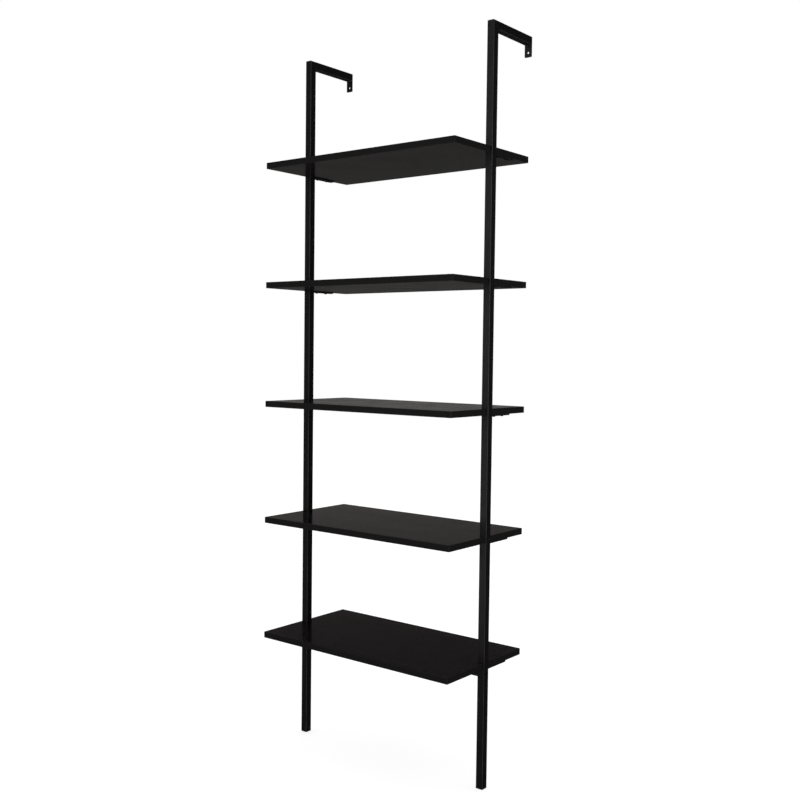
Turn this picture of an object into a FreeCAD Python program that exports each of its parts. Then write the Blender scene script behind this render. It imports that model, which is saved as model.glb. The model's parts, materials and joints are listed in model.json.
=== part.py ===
import FreeCAD, Part
import os

# Wall-mounted ladder shelf: five black boards held between two square steel uprights.
# The uprights stand in notches in the board ends, turn back to the wall at the top and
# end in a flat tab with a screw hole. A crossbar ties them together under the lowest board.
#
# All sizes are in millimetres. +X is to the right seen from the front, +Y points to the
# wall and +Z is up. The origin is on the floor, in the middle of the width and the depth.

V = FreeCAD.Vector

# Overall sizes
overall_height = 1868.0
overall_depth = 323.0
front_y = -overall_depth / 2
wall_y = overall_depth / 2

# Boards
board_width = 610.0
board_depth = 320.0
board_thickness = 16.0
board_edge_round = 0.6
board_corner_round = 1.2
notch_clearance = 0.3
board_tops = {
    "bottom_shelf": 316.0,
    "lower_shelf": 628.0,
    "middle_shelf": 940.0,
    "upper_shelf": 1256.0,
    "top_shelf": 1570.0,
}

# Square steel tube, used for the uprights, the top arms and the crossbar
tube_size = 20.0
tube_wall = 1.2
tube_round = 2.0
tube_inside = tube_size - 2 * tube_wall
upright_x = 298.0
upright_y = front_y + board_depth / 2
upright_back_y = upright_y + tube_size / 2

# Plastic foot caps: a flange on the floor and a plug inside the tube
foot_flange = 3.0
foot_plug_length = 14.0
fit_gap = 0.2
plug_size = tube_inside - 2 * fit_gap

# The uprights are in two lengths, joined over an inner sleeve inside the lower board
seam_z = board_tops["lower_shelf"] - board_thickness / 2
sleeve_length = 100.0
sleeve_wall = 1.5
sleeve_screw_z = seam_z + 28.0

# Wall tabs
tab_thickness = 3.0
tab_height = 50.0
wall_hole_radius = 2.75
wall_hole_above_end = 11.0
wall_hole_z = overall_height - tab_height + wall_hole_above_end

# Brackets under the boards, welded to the back of the uprights
bracket_width = 15.0
bracket_thickness = 3.0
bracket_length = 82.0
bracket_end_round = 2.5
bracket_hole_radius = 2.25
bracket_hole_offsets = (20.0, 56.0)

# Board screws: pan head, cross drive
board_screw_length = 15.0
board_screw_radius = 1.7
board_screw_head_radius = 3.9
board_screw_head_height = 2.2
pilot_radius = 1.75
pilot_depth = 13.0

# Crossbar, its threaded end plugs and the M6 bolts through the uprights
crossbar_z = board_tops["bottom_shelf"] - board_thickness - tube_size / 2
end_plug_length = 15.0
bolt_radius = 3.0
bolt_length = 35.0
bolt_head_radius = 5.25
bolt_head_height = 2.8
bolt_hole_radius = 3.3
thread_clearance = 0.05

# M5 screws that hold the upper upright on the sleeve
sleeve_screw_radius = 2.5
sleeve_screw_length = 8.0
sleeve_screw_head_radius = 4.6
sleeve_screw_head_height = 2.4


def box(x0, x1, y0, y1, z0, z1):
    return Part.makeBox(x1 - x0, y1 - y0, z1 - z0, V(x0, y0, z0))


def edges_along(shape, direction):
    # straight edges of the shape that run along one axis
    found = []
    for edge in shape.Edges:
        run = edge.Vertexes[-1].Point - edge.Vertexes[0].Point
        if run.Length > 0 and abs(abs(run.normalize().dot(direction)) - 1) < 1e-6:
            found.append(edge)
    return found


def square_bar(size, corner, length):
    # bar along +Z with rounded long edges, centred on the axis, starting at z = 0
    bar = box(-size / 2, size / 2, -size / 2, size / 2, 0, length)
    return bar.makeFillet(corner, edges_along(bar, V(0, 0, 1)))


def square_tube(size, wall, corner, length):
    inside = square_bar(size - 2 * wall, max(corner - wall, 0.3), length + 2)
    inside.translate(V(0, 0, -1))
    return square_bar(size, corner, length).cut(inside)


def turned_to(shape, axis):
    # turn a shape built along +Z so that it runs along +X or +Y
    turned = shape.copy()
    if axis == "x":
        turned.rotate(V(0, 0, 0), V(0, 1, 0), 90)
    if axis == "y":
        turned.rotate(V(0, 0, 0), V(1, 0, 0), -90)
    return turned


def moved(shape, x, y, z):
    copy = shape.copy()
    copy.translate(V(x, y, z))
    return copy


def mirrored(shape):
    # the same piece on the other side of the ladder
    return shape.mirror(V(0, 0, 0), V(1, 0, 0))


def hole(radius, length, x, y, z, direction):
    return Part.makeCylinder(radius, length, V(x, y, z), direction)


def prism_x(points, x0, x1):
    # solid with an outline in the YZ plane, from x0 to x1
    corners = [V(x0, y, z) for y, z in points]
    outline = Part.makePolygon(corners + [corners[0]])
    return Part.Face(outline).extrude(V(x1 - x0, 0, 0))


def domed_head(radius, height):
    # low dome on the plane z = 0, pointing to +Z
    rim = 0.35 * height
    arc_middle = V(0.8 * radius, 0, rim + 0.68 * (height - rim))
    flat = 0.35 * radius
    outline = [
        Part.LineSegment(V(0, 0, 0), V(radius, 0, 0)).toShape(),
        Part.LineSegment(V(radius, 0, 0), V(radius, 0, rim)).toShape(),
        Part.Arc(V(radius, 0, rim), arc_middle, V(flat, 0, height)).toShape(),
        Part.LineSegment(V(flat, 0, height), V(0, 0, height)).toShape(),
        Part.LineSegment(V(0, 0, height), V(0, 0, 0)).toShape(),
    ]
    return Part.Face(Part.Wire(outline)).revolve(V(0, 0, 0), V(0, 0, 1), 360)


def hex_socket(across_flats, depth, top):
    radius = across_flats / 3 ** 0.5
    points = []
    for i in range(6):
        turned = FreeCAD.Rotation(V(0, 0, 1), 60 * i).multVec(V(radius, 0, 0))
        points.append(V(turned.x, turned.y, top - depth))
    face = Part.Face(Part.makePolygon(points + [points[0]]))
    return face.extrude(V(0, 0, depth + 1))


def cross_socket(across, slot, depth, top):
    first = box(-across / 2, across / 2, -slot / 2, slot / 2, top - depth, top + 1)
    second = box(-slot / 2, slot / 2, -across / 2, across / 2, top - depth, top + 1)
    return first.fuse(second)


def socket_screw(radius, length, head_radius, head_height, key):
    # head on +Z, shank on -Z, the underside of the head at z = 0
    head = domed_head(head_radius, head_height)
    tip = 0.6
    shank = hole(radius, length - tip, 0, 0, -(length - tip), V(0, 0, 1))
    point = Part.makeCone(radius - tip, radius, tip, V(0, 0, -length), V(0, 0, 1))
    body = head.fuse([shank, point]).removeSplitter()
    return body.cut(hex_socket(key, 0.62 * head_height, head_height))


def wood_screw():
    # pan head on +Z with a cross recess, pointed shank on -Z
    head = domed_head(board_screw_head_radius, board_screw_head_height)
    tip = 3.0
    straight = board_screw_length - tip
    shank = hole(board_screw_radius, straight, 0, 0, -straight, V(0, 0, 1))
    point = Part.makeCone(0.3, board_screw_radius, tip, V(0, 0, -board_screw_length), V(0, 0, 1))
    body = head.fuse([shank, point]).removeSplitter()
    return body.cut(cross_socket(4.2, 1.0, 1.3, board_screw_head_height))


# Boards ---------------------------------------------------------------------
def board(top):
    bottom = top - board_thickness
    half = board_width / 2
    plain = box(-half, half, front_y, front_y + board_depth, bottom, top)
    plain = plain.makeFillet(board_corner_round, edges_along(plain, V(0, 0, 1)))
    rim = [e for e in plain.Edges if abs(e.BoundBox.ZMax - e.BoundBox.ZMin) < 1e-6]
    plain = plain.makeFillet(board_edge_round, rim)
    reach = upright_x - tube_size / 2 - notch_clearance
    across = tube_size / 2 + notch_clearance
    notch = box(reach, half + 10, upright_y - across, upright_y + across, bottom - 1, top + 1)
    inner = [e for e in edges_along(notch, V(0, 0, 1)) if e.BoundBox.XMax < half]
    notch = notch.makeFillet(tube_round, inner)
    cuts = [notch, mirrored(notch)]
    for offset in bracket_hole_offsets:
        for side in (-1, 1):
            y = upright_back_y + offset
            cuts.append(hole(pilot_radius, pilot_depth, side * upright_x, y, bottom, V(0, 0, 1)))
    return plain.cut(cuts)


# Uprights, right-hand side ---------------------------------------------------
def bolt_cut():
    x = upright_x - tube_size
    return hole(bolt_hole_radius, 2 * tube_size, x, upright_y, crossbar_z, V(1, 0, 0))


def lower_upright():
    tube = square_tube(tube_size, tube_wall, tube_round, seam_z - foot_flange)
    return moved(tube, upright_x, upright_y, foot_flange).cut(bolt_cut())


# The 45 degree mitre between upright and arm, as two wedges in the YZ plane
mitre_start = (upright_y - tube_size / 2 - 40, overall_height + 40)
mitre_end = (upright_back_y + 40, overall_height - tube_size - 40)
above_mitre = (mitre_end[0], mitre_start[1])
below_mitre = (mitre_start[0], mitre_end[1])


def mitre_wedge(third_corner):
    x0 = upright_x - tube_size
    return prism_x([mitre_start, mitre_end, third_corner], x0, x0 + 2 * tube_size)


def upper_upright():
    tube = square_tube(tube_size, tube_wall, tube_round, overall_height - seam_z)
    tube = moved(tube, upright_x, upright_y, seam_z).cut(mitre_wedge(above_mitre))
    screw_hole = hole(
        sleeve_screw_radius + 0.3, tube_size / 2, upright_x, upright_y, sleeve_screw_z, V(0, 1, 0))
    return tube.cut(screw_hole)


def top_arm():
    start = upright_y - tube_size / 2
    tube = square_tube(tube_size, tube_wall, tube_round, wall_y - tab_thickness - start)
    tube = moved(turned_to(tube, "y"), upright_x, start, overall_height - tube_size / 2)
    return tube.cut(mitre_wedge(below_mitre))


def wall_tab():
    half = tube_size / 2
    bottom = overall_height - tab_height
    plate = box(upright_x - half, upright_x + half, wall_y - tab_thickness, wall_y,
                bottom, overall_height)
    plate = plate.makeFillet(tube_round, edges_along(plate, V(0, 1, 0)))
    start = wall_y - tab_thickness - 1
    return plate.cut(hole(wall_hole_radius, tab_thickness + 2, upright_x, start, wall_hole_z,
                          V(0, 1, 0)))


def joint_sleeve():
    tube = square_tube(plug_size, sleeve_wall, 0.9, sleeve_length)
    tube = moved(tube, upright_x, upright_y, seam_z - sleeve_length / 2)
    return tube.cut(hole(sleeve_screw_radius + thread_clearance, tube_size, upright_x,
                         upright_y, sleeve_screw_z, V(0, 1, 0)))


def foot_cap():
    flange = square_bar(tube_size, tube_round, foot_flange)
    rim = [e for e in flange.Edges if e.BoundBox.ZMax < 1e-6]
    flange = flange.makeChamfer(0.5, rim)
    plug = moved(square_bar(plug_size, 0.9, foot_plug_length), 0, 0, foot_flange)
    hollow = moved(square_bar(plug_size - 4, 0.9, foot_plug_length), 0, 0, foot_flange + 2)
    return moved(flange.fuse(plug).cut(hollow), upright_x, upright_y, 0)


def bracket(top):
    underside = top - board_thickness
    half = bracket_width / 2
    end_y = upright_back_y + bracket_length
    bar = box(upright_x - half, upright_x + half, upright_back_y, end_y,
              underside - bracket_thickness, underside)
    rear = [e for e in edges_along(bar, V(0, 0, 1)) if e.BoundBox.YMin > end_y - 1]
    bar = bar.makeFillet(bracket_end_round, rear)
    holes = []
    for offset in bracket_hole_offsets:
        holes.append(hole(bracket_hole_radius, 10, upright_x, upright_back_y + offset,
                          underside - 5, V(0, 0, 1)))
    return bar.cut(holes)


# Crossbar and fasteners -------------------------------------------------------
inner_x = upright_x - tube_size / 2
outer_x = upright_x + tube_size / 2


def crossbar():
    tube = turned_to(square_tube(tube_size, tube_wall, tube_round, 2 * inner_x), "x")
    return moved(tube, -inner_x, upright_y, crossbar_z)


def end_plug():
    plug = turned_to(square_bar(plug_size, 0.9, end_plug_length), "x")
    plug = moved(plug, inner_x - end_plug_length, upright_y, crossbar_z)
    thread = hole(bolt_radius + thread_clearance, 2 * end_plug_length,
                  inner_x - 1.5 * end_plug_length, upright_y, crossbar_z, V(1, 0, 0))
    return plug.cut(thread)


def crossbar_bolt():
    bolt = socket_screw(bolt_radius, bolt_length, bolt_head_radius, bolt_head_height, 4.0)
    return moved(turned_to(bolt, "x"), outer_x, upright_y, crossbar_z)


def sleeve_screw():
    screw = socket_screw(sleeve_screw_radius, sleeve_screw_length, sleeve_screw_head_radius,
                         sleeve_screw_head_height, 3.0)
    return moved(turned_to(screw, "y"), upright_x, upright_back_y, sleeve_screw_z)


def board_screws():
    # two screws through each bracket, heads down
    screw = wood_screw()
    screw.rotate(V(0, 0, 0), V(1, 0, 0), 180)
    screws = []
    for top in board_tops.values():
        z = top - board_thickness - bracket_thickness
        for side in (-1, 1):
            for offset in bracket_hole_offsets:
                screws.append(moved(screw, side * upright_x, upright_back_y + offset, z))
    return screws


def pair(shape):
    # the right-hand piece and its mirror image, kept as two separate solids
    return Part.makeCompound([mirrored(shape), shape])


pieces = {}
for name, top in board_tops.items():
    pieces[name] = board(top)
    pieces[name + "_bracket_right"] = bracket(top)
    pieces[name + "_bracket_left"] = mirrored(bracket(top))

sided = {
    "lower_upright": lower_upright,
    "upper_upright": upper_upright,
    "top_arm": top_arm,
    "wall_tab": wall_tab,
    "joint_sleeve": joint_sleeve,
    "foot_cap": foot_cap,
}
for name, make in sided.items():
    pieces[name + "_right"] = make()
    pieces[name + "_left"] = mirrored(make())

pieces["crossbar"] = crossbar()
pieces["crossbar_end_plugs"] = pair(end_plug())
pieces["crossbar_bolts"] = pair(crossbar_bolt())
pieces["upright_joint_screws"] = pair(sleeve_screw())
pieces["shelf_screws"] = Part.makeCompound(board_screws())

os.makedirs("parts", exist_ok=True)
for name, shape in pieces.items():
    shape.exportStep("parts/" + name + ".step")
    print(name, len(shape.Solids), shape.isValid(), shape.BoundBox)
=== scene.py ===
# %% [markdown]
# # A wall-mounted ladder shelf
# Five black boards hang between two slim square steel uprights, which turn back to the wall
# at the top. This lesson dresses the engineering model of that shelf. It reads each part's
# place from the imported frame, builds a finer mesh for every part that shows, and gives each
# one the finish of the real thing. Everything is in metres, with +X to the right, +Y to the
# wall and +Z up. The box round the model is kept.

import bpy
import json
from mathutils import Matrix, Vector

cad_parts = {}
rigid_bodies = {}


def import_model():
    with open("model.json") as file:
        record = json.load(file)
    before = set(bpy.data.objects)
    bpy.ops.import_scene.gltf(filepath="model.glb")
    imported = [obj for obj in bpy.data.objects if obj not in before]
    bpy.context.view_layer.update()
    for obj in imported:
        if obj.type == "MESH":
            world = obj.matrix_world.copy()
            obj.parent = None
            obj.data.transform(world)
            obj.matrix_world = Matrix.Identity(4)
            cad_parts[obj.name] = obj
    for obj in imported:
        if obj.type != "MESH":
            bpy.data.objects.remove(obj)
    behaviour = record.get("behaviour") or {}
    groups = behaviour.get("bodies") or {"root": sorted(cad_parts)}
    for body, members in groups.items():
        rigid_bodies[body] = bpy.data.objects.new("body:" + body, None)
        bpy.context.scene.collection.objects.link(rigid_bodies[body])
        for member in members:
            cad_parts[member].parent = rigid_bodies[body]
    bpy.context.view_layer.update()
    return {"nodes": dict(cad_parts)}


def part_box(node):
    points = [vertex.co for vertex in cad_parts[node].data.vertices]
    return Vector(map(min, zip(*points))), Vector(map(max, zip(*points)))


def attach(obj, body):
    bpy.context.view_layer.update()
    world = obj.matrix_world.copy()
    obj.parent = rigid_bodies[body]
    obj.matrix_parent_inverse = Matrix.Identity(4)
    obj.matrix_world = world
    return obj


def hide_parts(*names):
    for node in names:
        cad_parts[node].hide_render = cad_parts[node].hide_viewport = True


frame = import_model()
print("model nodes:", len(frame["nodes"]))

# %% [markdown]
# ## The workbench
# The drawings are in millimetres and Blender works in metres, so one constant turns one
# into the other. The shelf has no moving parts: every piece rides on the same body. The
# tubes and boards share a few sizes, which are read from the model rather than typed again.

# %% Imports, units and shared places
import json
import math

import bmesh
import bpy
from mathutils import Matrix, Vector

MM = 0.001
BODY = "root"
SIDES = {"left": -1, "right": 1}
BOARDS = ["bottom_shelf", "lower_shelf", "middle_shelf", "upper_shelf", "top_shelf"]

tube_low, tube_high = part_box("lower_upright_right")
upright_x = (tube_low.x + tube_high.x) / 2
upright_y = (tube_low.y + tube_high.y) / 2
print("uprights stand", round(upright_x / MM), "mm to each side of the middle")

# %% [markdown]
# ## Colours
# Paint makers give a colour as it looks on a screen. Blender's shaders reckon in linear
# light, where twice the number is twice the light. One function turns a hex value into
# linear red, green and blue, so that every colour below can be read and compared as hex.

# %% Hex colour to linear light
def linear(hex_colour):
    channels = []
    for start in (1, 3, 5):
        value = int(hex_colour[start:start + 2], 16) / 255
        if value <= 0.04045:
            channels.append(value / 12.92)
        else:
            channels.append(((value + 0.055) / 1.055) ** 2.4)
    return (*channels, 1.0)


print("a black of #100e0f is", round(linear("#100e0f")[0], 4), "in linear red")

# %% [markdown]
# ## Finishes are small graphs
# A finish could be an image wrapped round the part, but an image has edges and one fixed
# sharpness. Nodes work the pattern out at every point instead. One function adds a node,
# sets its options, and fills each input with either a value or a link from another node.
# The patterns read object coordinates, which are real metres here, so a pattern's scale
# follows from its true size: a texture of scale 500 has features of about 2 mm.

# %% A node with its settings and links
# a Mix node's colour sockets share their names with its number sockets, so they go by place
COLOUR_A, COLOUR_B, MIXED_COLOUR = 6, 7, 2


def add(tree, kind, inputs=None, **settings):
    node = tree.nodes.new(kind)
    for name, value in settings.items():
        setattr(node, name, value)
    for name, value in (inputs or {}).items():
        if isinstance(value, bpy.types.NodeSocket):
            tree.links.new(value, node.inputs[name])
        else:
            node.inputs[name].default_value = value
    return node


def per_metre(size_mm):
    return 1000 / size_mm


def new_finish(name):
    finish = bpy.data.materials.new(name)
    finish.use_nodes = True
    finish.node_tree.nodes.clear()
    return finish, finish.node_tree


print("2 mm grain needs a texture scale of", per_metre(2))

# %% [markdown]
# ## Corners wear first, and get a painted highlight
# Hands, cloths and boxes rub a part at its corners and leave its flat faces alone. The paler
# colour that the finishes below put on the corners is partly that rub and partly a painted
# highlight, the thin light line that a lit corner draws. Corners could be painted by hand.
# Here they are found in two ways. At a sharp edge, the Bevel node gives the direction that
# the surface would face if the edge were rounded, which differs from the direction it really
# faces. On a rounded corner the two agree, but another test works: this shelf is square, so
# a flat face points straight along one axis and only a corner points between them. Both
# masks are 0 on flat ground and 1 on a corner.

# %% Find the corners
def sharp_edge_mask(tree, reach_mm):
    facing = add(tree, "ShaderNodeNewGeometry").outputs["Normal"]
    rounded = add(tree, "ShaderNodeBevel", {"Radius": reach_mm * MM}, samples=4)
    agreement = add(tree, "ShaderNodeVectorMath",
                    {0: facing, 1: rounded.outputs["Normal"]}, operation="DOT_PRODUCT")
    mask = add(tree, "ShaderNodeMapRange",
               {"Value": agreement.outputs["Value"], "From Min": 0.995, "From Max": 0.85,
                "To Min": 0.0, "To Max": 1.0})
    return mask.outputs["Result"]


def rounded_corner_mask(tree):
    facing = add(tree, "ShaderNodeNewGeometry").outputs["Normal"]
    size = add(tree, "ShaderNodeVectorMath", {0: facing}, operation="ABSOLUTE")
    part = add(tree, "ShaderNodeSeparateXYZ", {"Vector": size.outputs["Vector"]})
    larger = add(tree, "ShaderNodeMath", {0: part.outputs["X"], 1: part.outputs["Y"]},
                 operation="MAXIMUM")
    largest = add(tree, "ShaderNodeMath", {0: larger.outputs["Value"], 1: part.outputs["Z"]},
                  operation="MAXIMUM")
    mask = add(tree, "ShaderNodeMapRange",
               {"Value": largest.outputs["Value"], "From Min": 0.98, "From Max": 0.78,
                "To Min": 0.0, "To Max": 1.0})
    return mask.outputs["Result"]


def corner_mask(tree, reach_mm):
    mask = add(tree, "ShaderNodeMath",
               {0: sharp_edge_mask(tree, reach_mm), 1: rounded_corner_mask(tree)},
               operation="MAXIMUM")
    return mask.outputs["Value"]


print("a corner that points half-way between two axes has its larger part at",
      round(math.cos(math.radians(45)), 2))

# %% [markdown]
# ## The boards: black melamine laminate
# Each board is particle board. On both faces a sheet of black paper, soaked in melamine
# resin, is pressed hot against a smooth steel plate. The plate gives it a clear but slightly
# soft reflection, in which the uprights are mirrored. What tells it from glass is a faint
# grain of pressed pores along the board, a slow waviness where the chips below print
# through, and dull patches from handling. Each of those is one noise texture: the pores are
# stretched along X, the waves and patches are even in every direction.

# %% Melamine laminate
def melamine_laminate():
    finish, tree = new_finish("black_melamine_laminate")
    place = add(tree, "ShaderNodeTexCoord").outputs["Object"]
    # real pores are about 0.3 x 12 mm, too fine to show, so they are drawn 2 x 70 mm
    along_board = add(tree, "ShaderNodeMapping",
                      {"Vector": place, "Scale": (per_metre(70), per_metre(2), per_metre(20))})
    pores = add(tree, "ShaderNodeTexNoise",
                {"Vector": along_board.outputs["Vector"], "Scale": 1.0, "Detail": 4.0,
                 "Roughness": 0.6})
    # chips are 10 to 20 mm long
    waves = add(tree, "ShaderNodeTexNoise",
                {"Vector": place, "Scale": per_metre(14), "Detail": 2.0})
    # a hand leaves a dull patch about 90 mm across
    patches = add(tree, "ShaderNodeTexNoise",
                  {"Vector": place, "Scale": per_metre(90), "Detail": 5.0, "Roughness": 0.65})
    pore_depth = add(tree, "ShaderNodeMapRange",
                     {"Value": pores.outputs["Fac"], "From Min": 0.35, "From Max": 0.7})
    colour = add(tree, "ShaderNodeMix",
                 {"Factor": pore_depth.outputs["Result"],
                  COLOUR_A: linear("#0b090a"), COLOUR_B: linear("#191617")}, data_type="RGBA")
    handled = add(tree, "ShaderNodeMapRange",
                  {"Value": patches.outputs["Fac"], "From Min": 0.35, "From Max": 0.7,
                   "To Min": 0.09, "To Max": 0.18})
    # a pore is rougher than the pressed skin round it
    dullness = add(tree, "ShaderNodeMath",
                   {0: pore_depth.outputs["Result"], 1: 0.1, 2: handled.outputs["Result"]},
                   operation="MULTIPLY_ADD")
    relief = add(tree, "ShaderNodeMath",
                 {0: waves.outputs["Fac"], 1: 2.0, 2: pores.outputs["Fac"]},
                 operation="MULTIPLY_ADD")
    bump = add(tree, "ShaderNodeBump",
               {"Strength": 0.9, "Distance": 0.08 * MM, "Height": relief.outputs["Value"]})
    surface = add(tree, "ShaderNodeBsdfPrincipled",
                  {"Base Color": colour.outputs[MIXED_COLOUR], "IOR": 1.5,
                   "Roughness": dullness.outputs["Value"], "Normal": bump.outputs["Normal"]})
    add(tree, "ShaderNodeOutputMaterial", {"Surface": surface.outputs["BSDF"]})
    return finish


laminate = melamine_laminate()
print("made", laminate.name, "from", len(laminate.node_tree.nodes), "nodes")

# %% [markdown]
# ## The board edges: ABS edge band
# A strip of black ABS plastic is glued round each board, trimmed flush and scraped. It is
# more matt than the faces, with faint drag lines along the strip and a paler line along its
# corners: partly a rub, where the scraper and later knocks have stressed the plastic, and
# partly a painted highlight. The drag lines are a noise texture squeezed in height and
# drawn out along the board.

# %% ABS edge band
def abs_edge_band():
    finish, tree = new_finish("black_abs_edge_band")
    place = add(tree, "ShaderNodeTexCoord").outputs["Object"]
    # real drag lines are 0.2 mm apart; they are drawn 1.6 mm apart so that they show
    along_strip = add(tree, "ShaderNodeMapping",
                      {"Vector": place,
                       "Scale": (per_metre(120), per_metre(120), per_metre(1.6))})
    drag_lines = add(tree, "ShaderNodeTexNoise",
                     {"Vector": along_strip.outputs["Vector"], "Scale": 1.0, "Detail": 3.0})
    # the scraper presses unevenly, over about 30 mm
    pressure = add(tree, "ShaderNodeTexNoise",
                   {"Vector": place, "Scale": per_metre(30), "Detail": 4.0})
    dullness = add(tree, "ShaderNodeMapRange",
                   {"Value": pressure.outputs["Fac"], "From Min": 0.3, "From Max": 0.7,
                    "To Min": 0.44, "To Max": 0.58})
    plastic = add(tree, "ShaderNodeMix",
                  {"Factor": drag_lines.outputs["Fac"],
                   COLOUR_A: linear("#121010"), COLOUR_B: linear("#191717")}, data_type="RGBA")
    # the paler corner is partly a rub and partly a painted highlight; it is patchy, so the
    # corner mask is broken up by the uneven pressure
    rub_and_painted_highlight = add(tree, "ShaderNodeMath",
              {0: corner_mask(tree, 0.8), 1: pressure.outputs["Fac"]}, operation="MULTIPLY")
    colour = add(tree, "ShaderNodeMix",
                 {"Factor": rub_and_painted_highlight.outputs["Value"], COLOUR_A: plastic.outputs[MIXED_COLOUR],
                  COLOUR_B: linear("#3a3637")}, data_type="RGBA")
    bump = add(tree, "ShaderNodeBump",
               {"Strength": 0.8, "Distance": 0.08 * MM, "Height": drag_lines.outputs["Fac"]})
    surface = add(tree, "ShaderNodeBsdfPrincipled",
                  {"Base Color": colour.outputs[MIXED_COLOUR], "IOR": 1.54,
                   "Specular IOR Level": 0.3, "Roughness": dullness.outputs["Result"],
                   "Normal": bump.outputs["Normal"]})
    add(tree, "ShaderNodeOutputMaterial", {"Surface": surface.outputs["BSDF"]})
    return finish


edge_band = abs_edge_band()
print("made", edge_band.name)

# %% [markdown]
# ## Inside the notches: sealed particle board
# The notches for the uprights are routed after the edges are banded, so they cut into the
# bare core, which is then brushed with black sealer. The sealer hides the colour of the wood
# but not the chips, which stay as relief. Voronoi cells are a good likeness of packed chips.

# %% Sealed particle board
def sealed_particle_board():
    finish, tree = new_finish("sealed_particle_board")
    place = add(tree, "ShaderNodeTexCoord").outputs["Object"]
    # core chips are 1 to 4 mm, so one cell is 2.5 mm
    chips = add(tree, "ShaderNodeTexVoronoi", {"Vector": place, "Scale": per_metre(2.5)})
    colour = add(tree, "ShaderNodeMix",
                 {"Factor": chips.outputs["Distance"],
                  COLOUR_A: linear("#0e0d0c"), COLOUR_B: linear("#1d1a17")}, data_type="RGBA")
    bump = add(tree, "ShaderNodeBump",
               {"Strength": 0.6, "Distance": 0.2 * MM, "Height": chips.outputs["Distance"]})
    surface = add(tree, "ShaderNodeBsdfPrincipled",
                  {"Base Color": colour.outputs[MIXED_COLOUR], "IOR": 1.5, "Roughness": 0.75,
                   "Normal": bump.outputs["Normal"]})
    add(tree, "ShaderNodeOutputMaterial", {"Surface": surface.outputs["BSDF"]})
    return finish


board_core = sealed_particle_board()
print("made", board_core.name)

# %% [markdown]
# ## The steel parts: satin black powder coat
# Tubes, arms, tabs and brackets are mild steel, sprayed with charged polyester powder and
# baked until it flows. It sets as a satin skin with a fine orange peel, which spreads any
# reflection. Surface tension pulls the melt away from sharp corners, so the film there is
# thin, smooth and a little rubbed. The corners also get a paler colour, partly that rub and
# partly a painted highlight, so that the corners of a black tube draw a thin light line.

# %% Satin powder coat
def satin_powder_coat():
    finish, tree = new_finish("satin_black_powder_coat")
    place = add(tree, "ShaderNodeTexCoord").outputs["Object"]
    # orange peel is about 1 mm from bump to bump; it is drawn at 3 mm so that it shows
    peel = add(tree, "ShaderNodeTexNoise",
               {"Vector": place, "Scale": per_metre(3), "Detail": 3.0, "Roughness": 0.45})
    # the film's thickness drifts over about 45 mm
    drift = add(tree, "ShaderNodeTexNoise",
                {"Vector": place, "Scale": per_metre(45), "Detail": 4.0})
    corner = corner_mask(tree, 0.8)
    satin = add(tree, "ShaderNodeMapRange",
                {"Value": drift.outputs["Fac"], "From Min": 0.3, "From Max": 0.7,
                 "To Min": 0.36, "To Max": 0.46})
    smoother_corner = add(tree, "ShaderNodeMath",
                          {0: corner, 1: -0.1, 2: satin.outputs["Result"]},
                          operation="MULTIPLY_ADD")
    # the tops of the peel catch a little more light than its valleys
    film = add(tree, "ShaderNodeMix",
               {"Factor": peel.outputs["Fac"],
                COLOUR_A: linear("#070606"), COLOUR_B: linear("#121011")}, data_type="RGBA")
    # the paler corner, partly a rub and partly a painted highlight, is strongest where the
    # film is thin, so it comes and goes along a corner
    rub_and_painted_highlight = add(tree, "ShaderNodeMath",
              {0: corner, 1: drift.outputs["Fac"]}, operation="MULTIPLY")
    colour = add(tree, "ShaderNodeMix",
                 {"Factor": rub_and_painted_highlight.outputs["Value"], COLOUR_A: film.outputs[MIXED_COLOUR],
                  COLOUR_B: linear("#3e3a3b")}, data_type="RGBA")
    bump = add(tree, "ShaderNodeBump",
               {"Strength": 0.9, "Distance": 0.15 * MM, "Height": peel.outputs["Fac"]})
    surface = add(tree, "ShaderNodeBsdfPrincipled",
                  {"Base Color": colour.outputs[MIXED_COLOUR], "IOR": 1.52,
                   "Roughness": smoother_corner.outputs["Value"],
                   "Normal": bump.outputs["Normal"]})
    add(tree, "ShaderNodeOutputMaterial", {"Surface": surface.outputs["BSDF"]})
    return finish


powder_coat = satin_powder_coat()
print("made", powder_coat.name)

# %% [markdown]
# ## Screws and bolts: black oxide steel
# The fasteners are hardened steel, blackened in a bath of hot salts and oiled. The layer is
# far thinner than paint, so it keeps the shine of metal: nearly black, with a grey glint
# wherever it faces a light. A metal in Blender takes its reflection from its base colour.

# %% Black oxide steel
def black_oxide_steel():
    finish, tree = new_finish("black_oxide_steel")
    place = add(tree, "ShaderNodeTexCoord").outputs["Object"]
    # the etched grain is about 0.6 mm
    grain = add(tree, "ShaderNodeTexNoise",
                {"Vector": place, "Scale": per_metre(0.6), "Detail": 3.0})
    oxide = add(tree, "ShaderNodeMix",
                {"Factor": grain.outputs["Fac"],
                 COLOUR_A: linear("#3a3a3c"), COLOUR_B: linear("#57575b")}, data_type="RGBA")
    # a screwdriver or key polishes the rims of the recess and the head
    colour = add(tree, "ShaderNodeMix",
                 {"Factor": sharp_edge_mask(tree, 0.4), COLOUR_A: oxide.outputs[MIXED_COLOUR],
                  COLOUR_B: linear("#7d7d80")}, data_type="RGBA")
    dullness = add(tree, "ShaderNodeMapRange",
                   {"Value": grain.outputs["Fac"], "From Min": 0.3, "From Max": 0.7,
                    "To Min": 0.28, "To Max": 0.42})
    bump = add(tree, "ShaderNodeBump",
               {"Strength": 0.3, "Distance": 0.02 * MM, "Height": grain.outputs["Fac"]})
    surface = add(tree, "ShaderNodeBsdfPrincipled",
                  {"Base Color": colour.outputs[MIXED_COLOUR], "Metallic": 1.0,
                   "Roughness": dullness.outputs["Result"], "Normal": bump.outputs["Normal"]})
    add(tree, "ShaderNodeOutputMaterial", {"Surface": surface.outputs["BSDF"]})
    return finish


black_oxide = black_oxide_steel()
print("made", black_oxide.name)

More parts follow.
